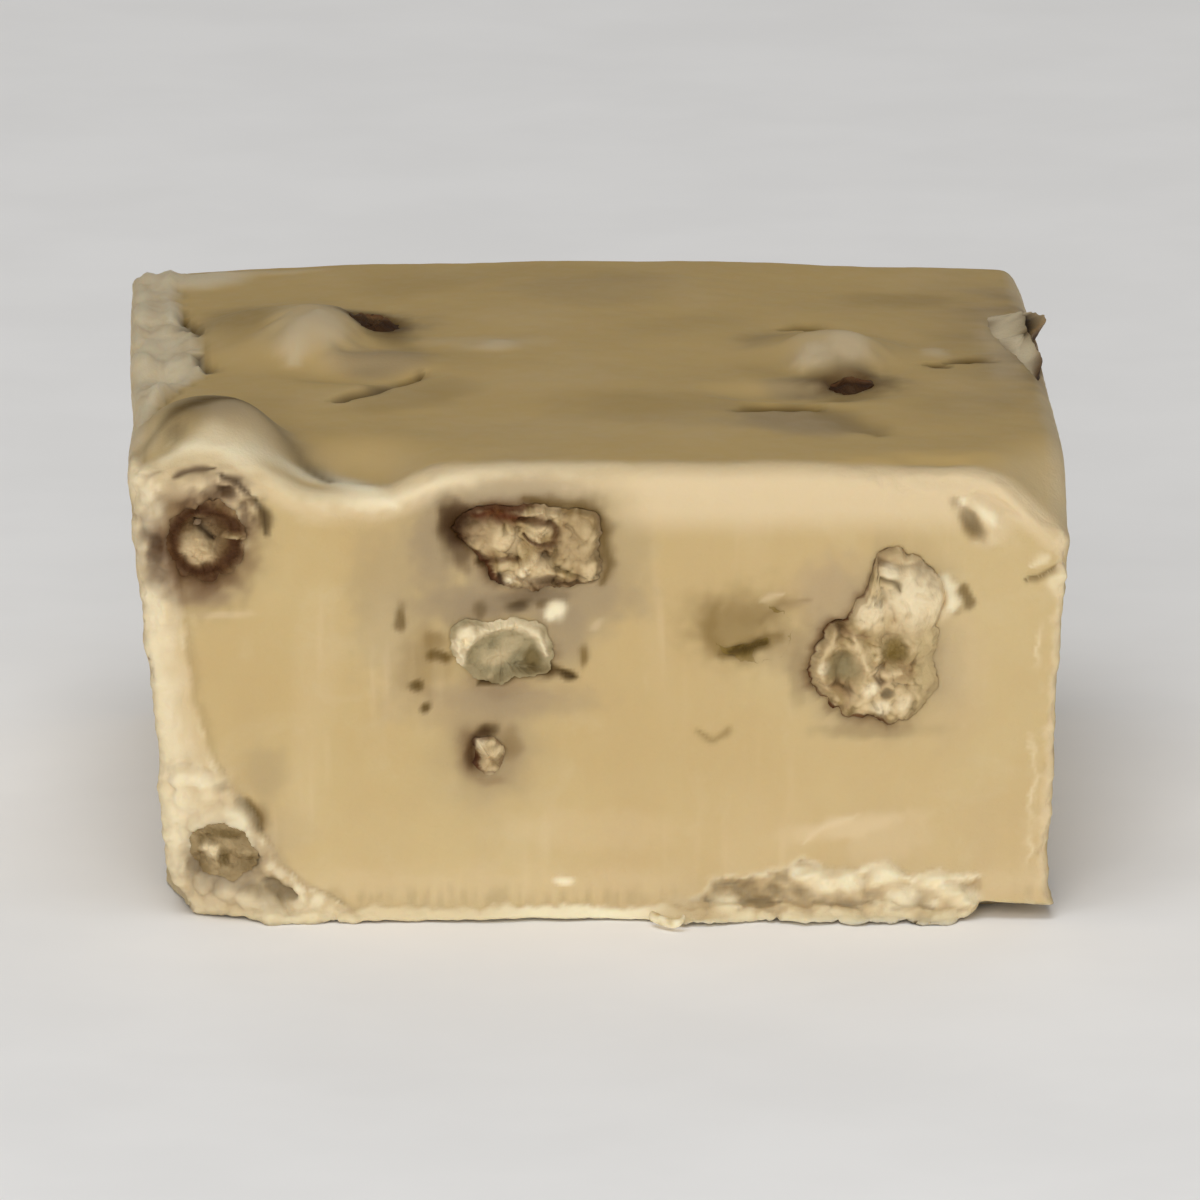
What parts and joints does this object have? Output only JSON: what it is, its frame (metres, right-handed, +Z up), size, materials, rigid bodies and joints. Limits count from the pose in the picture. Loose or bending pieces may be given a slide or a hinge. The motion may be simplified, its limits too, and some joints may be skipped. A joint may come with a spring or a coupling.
{
  "type": "pecan fudge square",
  "caption": "Knife-cut square of pale fudge with pieces of pecan in its cut faces, a poured top and a torn lip along its foot.",
  "frame": {"origin": "middle of the base, on the surface that the square rests on", "axes": "+Z up through the poured top, -Y out of the cut face that shows the most pecan, +X to the right along it"},
  "size_m": [0.0382, 0.0388, 0.0209],
  "materials": {
    "fudge": "matte, waxy, cut with a knife",
    "pecan_flesh": "matte, cut nut",
    "pecan_skin": "satin nut skin"
  },
  "bodies": {
    "root": {"fudge": "fudge", "pecan_front_corner": "pecan_flesh", "pecan_front_upper": "pecan_flesh", "pecan_front_middle": "pecan_flesh", "pecan_front_small": "pecan_flesh", "pecan_front_right": "pecan_flesh", "pecan_front_sunk": "pecan_flesh", "pecan_left_foot": "pecan_flesh", "pecan_left_high": "pecan_flesh", "pecan_left_low": "pecan_flesh", "pecan_left_back": "pecan_flesh", "pecan_right_high": "pecan_flesh", "pecan_right_front": "pecan_flesh", "pecan_right_back": "pecan_flesh", "pecan_back_left": "pecan_flesh", "pecan_back_low": "pecan_flesh", "pecan_back_right": "pecan_flesh", "pecan_top_left": "pecan_skin", "pecan_top_right": "pecan_skin"}
  },
  "joints": []
}
